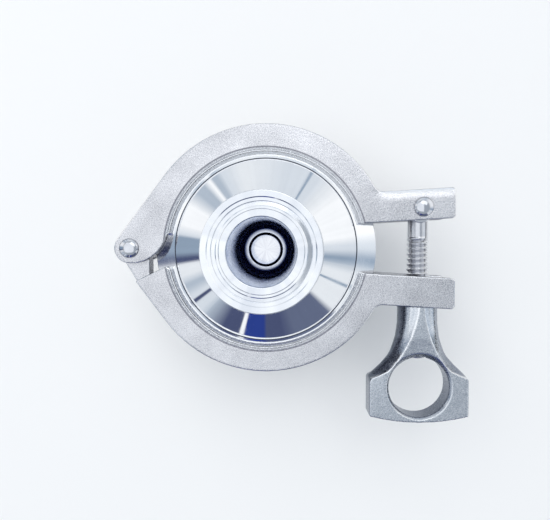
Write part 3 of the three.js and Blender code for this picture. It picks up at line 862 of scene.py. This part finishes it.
def nut_quarter(drop, wide, flat, thick, flat_steps=4, sides=10):
    """A quarter of the nut's outline, from the middle of its face out to its side."""
    quarter = [(flat * k / flat_steps, thick) for k in range(flat_steps + 1)]
    # The neck gives way to a plate with coved flanks between these two drops.
    neck_end, cove_start, square_start = 6, 18, 26.5
    plate = min(1, max(0, (drop - neck_end) / (cove_start - neck_end)))
    for k in range(1, sides + 1):
        t = k / sides
        # Beside the web the neck is round, and starts a step lower.
        step, dip = 1.3, 0.55
        turn = (t - 1 / sides) / (1 - 1 / sides) * math.pi / 2
        round_x = flat + step + (wide - flat - step) * math.sin(turn)
        round_z = (thick - dip) * math.cos(turn)
        if drop >= square_start:
            cove_x = flat + (wide - flat) * min(1, t * 4)
            cove_z = thick * (1 - max(0, t - 0.15) / 0.85)
        else:
            cove_x = flat + (wide - flat) * (1 - (1 - t) ** 2)
            cove_z = thick * (1 - t) * (1 - 0.55 * t * (1 - t))
        quarter.append((round_x * (1 - plate) + cove_x * plate,
                        round_z * (1 - plate) + cove_z * plate))
    return quarter


def nut_loft():
    """The nut's neck and wings as one closed mesh, with a bowed lower edge."""
    bottom = (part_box("wing_nut")[0].y - AXIS.y) / MM
    last = NUT_SECTIONS[-1][0]
    sag = NUT_TOP - bottom - last
    bm = bmesh.new()
    rings = []
    for drop, wide, flat, thick in NUT_SECTIONS:
        quarter = nut_quarter(drop, wide, flat, thick)
        outline = quarter + [(x, -z) for x, z in reversed(quarter[:-1])]
        outline += [(-x, -z) for x, z in quarter[1:]]
        outline += [(-x, z) for x, z in reversed(quarter[1:-1])]
        ring = []
        for x, z in outline:
            bow = sag * (1 - (x / wide) ** 2) if drop == last else 0
            ring.append(bm.verts.new(about_bolt(x, z, NUT_TOP - drop - bow)))
        rings.append(ring)
    return tube_mesh("ring_wing_nut", rings, bm, smooth=False)


def nut_cutters():
    """Solids to cut away: the finger hole, flared at both faces, and the threaded bore."""
    narrow, wide, straight, depth = 10.7, 13.7, 3.7, 6.7
    finger = points_of((0, -depth), (wide, -depth), (narrow, -straight), (narrow, straight),
                       (wide, depth), (0, depth))
    bore, above = 4.3, NUT_TOP + 1
    thread = points_of((0, FINGER_HOLE), (bore, FINGER_HOLE), (bore, above), (0, above))
    centre_line = about_z(PIVOT.x, FINGER_HOLE)
    return [
        cutter(lathe_mesh("hole", finger, 96, None, centre_line)),
        cutter(lathe_mesh("thread", thread, 48, None, about_bolt)),
    ]


def cutter(mesh):
    """A mesh as a bare object, for a boolean to cut with."""
    obj = bpy.data.objects.new(mesh.name, mesh)
    scene.collection.objects.link(obj)
    return obj


def build_nut():
    """Lofted neck and wings with coved flanks, then the finger hole cut through."""
    obj = piece("ring_wing_nut", nut_loft(), "wing_nut", [NUT_CASTING], "wing_nut")
    cutters = nut_cutters()
    for tool in cutters:
        modifier = obj.modifiers.new("cut", "BOOLEAN")
        modifier.operation = "DIFFERENCE"
        modifier.solver = "EXACT"
        modifier.object = tool
    bake(obj)
    for tool in cutters:
        bpy.data.objects.remove(tool)
    soften(obj, CASTING_VOXEL, rounds=7, keep=0.5)
    paint_web_highlights(obj)


def web_half_width(drop):
    """Half-width of the nut's raised web at that drop below its top."""
    for (upper, _, wide, _), (lower, _, wider, _) in zip(NUT_SECTIONS, NUT_SECTIONS[1:]):
        if upper <= drop <= lower:
            return wide + (wider - wide) * (drop - upper) / (lower - upper)
    return NUT_SECTIONS[-1][2]


def paint_web_highlights(obj):
    """Stores a painted highlight along the two long edges of the web, on both faces."""
    first, last, core, highlight_width, highlight_strength = 0.5, 26, 3, 0.75, 0.9
    painted_highlight = obj.data.attributes.new("painted_highlight", "FLOAT", "POINT")
    for vertex in obj.data.vertices:
        x, y, z = ((vertex.co - place(PIVOT.x, 0, 0)) / MM)[:]
        drop = NUT_TOP - y
        if first < drop < last and abs(z) > core:
            off_edge = abs(abs(x) - web_half_width(drop))
            painted_highlight.data[vertex.index].value = highlight_strength * max(0, 1 - off_edge / highlight_width)


build_inlet()
build_outlet()
build_gasket()
build_poppet()
build_guide()
build_spring()
build_jaws()
build_rivet("hinge_rivet", "hinge_pin", HINGE)
build_rivet("pivot_rivet", "bolt_pin", PIVOT)
build_bolt()
build_washer()
build_nut()


# ---------------------------------------------------------------- stage
def add_floor():
    bpy.ops.mesh.primitive_plane_add(size=6, location=(0, 0, -0.0002))
    floor = bpy.context.object
    floor.name = "table_top"
    n = Nodes("white_table")
    cloud = n.noise(1.2, 2, 0.5)
    n.colour(n.blend(cloud, (0.872, 0.873, 0.872), (0.9, 0.9, 0.893)))
    n.shader.inputs["Roughness"].default_value = 0.6
    n.shader.inputs["Specular IOR Level"].default_value = 0.2
    floor.data.materials.append(n.material)


# What stands round the table and shows in the polished steel: a pale room with a dark
# window side. Each card starts at an azimuth in degrees from +X, has a tone and a soft
# first edge in degrees, and ends where the next one starts.
WHITE = (1.12, 1.14, 1.16)
PALE = (0.93, 0.97, 1.01)
MIST = (0.79, 0.85, 0.92)
GREY = (0.52, 0.6, 0.7)
SLATE = (0.32, 0.41, 0.53)
DUSK = (0.14, 0.17, 0.27)
NAVY = (0.08, 0.1, 0.2)
INK = (0.03, 0.06, 0.3)
CARDS = (
    (5, WHITE, 3), (40, PALE, 5), (50, MIST, 4), (59, SLATE, 0.4), (61, MIST, 0.5),
    (90, PALE, 15), (115, MIST, 5), (124, GREY, 2), (130, WHITE, 1), (134, GREY, 2),
    (147, WHITE, 5), (168, MIST, 3), (172, SLATE, 1), (185, NAVY, 2), (190, PALE, 1),
    (201, GREY, 3), (209, MIST, 3), (214.5, NAVY, 0.5), (217, MIST, 0.6), (225, GREY, 3),
    (233, NAVY, 7), (251, WHITE, 0.4), (254, INK, 0.4), (268, NAVY, 1), (284, DUSK, 4),
    (315, PALE, 2), (333, SLATE, 0.4), (335, PALE, 0.5), (346, GREY, 4), (350, SLATE, 2),
    (356, MIST, 3),
)
OVERHEAD = (0.5, 0.52, 0.54)


def add_surroundings():
    """A ring of pale and dark cards round the table, seen only in reflections."""
    radius, count = 0.36, 720
    # Each height in metres has a shade of the card's own tone, and None is the ceiling's.
    levels = ((0, 0.1), (0.06, 0.12), (0.115, 1), (0.4, 1), (0.52, None))
    bm = bmesh.new()
    layer = bm.loops.layers.float_color.new("tone")
    rings = []
    for height, _ in levels:
        ring = []
        for i in range(count):
            a = 2 * math.pi * i / count
            spot = (AXIS.x + radius * math.cos(a), AXIS.y + radius * math.sin(a), height)
            ring.append(bm.verts.new(spot))
        rings.append(ring)
    levelled = list(zip(rings, levels))
    for (low, (_, dim)), (high, (_, bright)) in zip(levelled, levelled[1:]):
        for i in range(count):
            j = (i + 1) % count
            face = bm.faces.new((low[i], low[j], high[j], high[i]))
            corners = ((i, dim), (i + 1, dim), (i + 1, bright), (i, bright))
            for loop, (k, shade) in zip(face.loops, corners):
                tone = [x * ripple(k / count) for x in tone_at(360 * k / count)]
                loop[layer] = (*([x * shade for x in tone] if shade else OVERHEAD), 1)
    mesh = bpy.data.meshes.new("surroundings")
    bm.to_mesh(mesh)
    bm.free()
    mesh.materials.append(card_glow())
    ring = bpy.data.objects.new("surroundings", mesh)
    scene.collection.objects.link(ring)
    ring.visible_camera = False
    ring.visible_diffuse = False
    ring.visible_shadow = False


def card_glow():
    """A material that glows with the tone stored in the mesh."""
    material = bpy.data.materials.new("surroundings")
    material.use_nodes = True
    tree = material.node_tree
    tree.nodes.clear()
    tone = tree.nodes.new("ShaderNodeVertexColor")
    tone.layer_name = "tone"
    glow = tree.nodes.new("ShaderNodeEmission")
    out = tree.nodes.new("ShaderNodeOutputMaterial")
    tree.links.new(tone.outputs["Color"], glow.inputs["Color"])
    tree.links.new(glow.outputs[0], out.inputs["Surface"])
    return material


def ripple(turn):
    """Fine uneven streaks in what the cards reflect."""
    angle = 2 * math.pi * turn
    broad = 0.014 * math.sin(47 * angle) * math.sin(11 * angle + 1)
    fine = 0.007 * math.sin(86 * angle)
    return 1 + broad + fine


def tone_at(azimuth):
    """The cards' tone, with soft joints between neighbours."""
    tone = CARDS[-1][1]
    for index, (start, after, soft) in enumerate(CARDS):
        before = CARDS[index - 1][1]
        t = min(1, max(0, (azimuth - start + soft) / (2 * soft)))
        if t > 0:
            tone = [a * (1 - t) + b * t for a, b in zip(before, after)]
    return tone


def add_light(name, location, target, size, power, colour=(1.0, 1.0, 1.0), mirrored=True):
    """A soft square light; mirrored says if it shows in the steel."""
    data = bpy.data.lights.new(name, "AREA")
    data.size = size
    data.energy = power
    data.color = colour
    lamp = bpy.data.objects.new(name, data)
    scene.collection.objects.link(lamp)
    lamp.location = location
    lamp.visible_glossy = mirrored
    lamp.rotation_euler = (Vector(target) - Vector(location)).to_track_quat("-Z", "Y").to_euler()


def add_world():
    world = bpy.data.worlds.new("studio")
    scene.world = world
    world.use_nodes = True
    background = world.node_tree.nodes["Background"]
    background.inputs["Color"].default_value = (0.86, 0.95, 1.06, 1)
    background.inputs["Strength"].default_value = 0.52


add_floor()
add_surroundings()
add_world()
add_light("softbox", (-0.275, 0.1, 1.1), (-0.275, 0.1, 0), size=0.98, power=1.8)
add_light("backlight", (0.4, 0.9, 1.6), (0, 0, 0.05), size=1.0, power=3)
add_light("key", (-0.6, 0.8, 2.2), (0, 0, 0.03), size=2.6, power=36,
          colour=(1.0, 0.97, 0.94), mirrored=False)

bpy.context.view_layer.update()
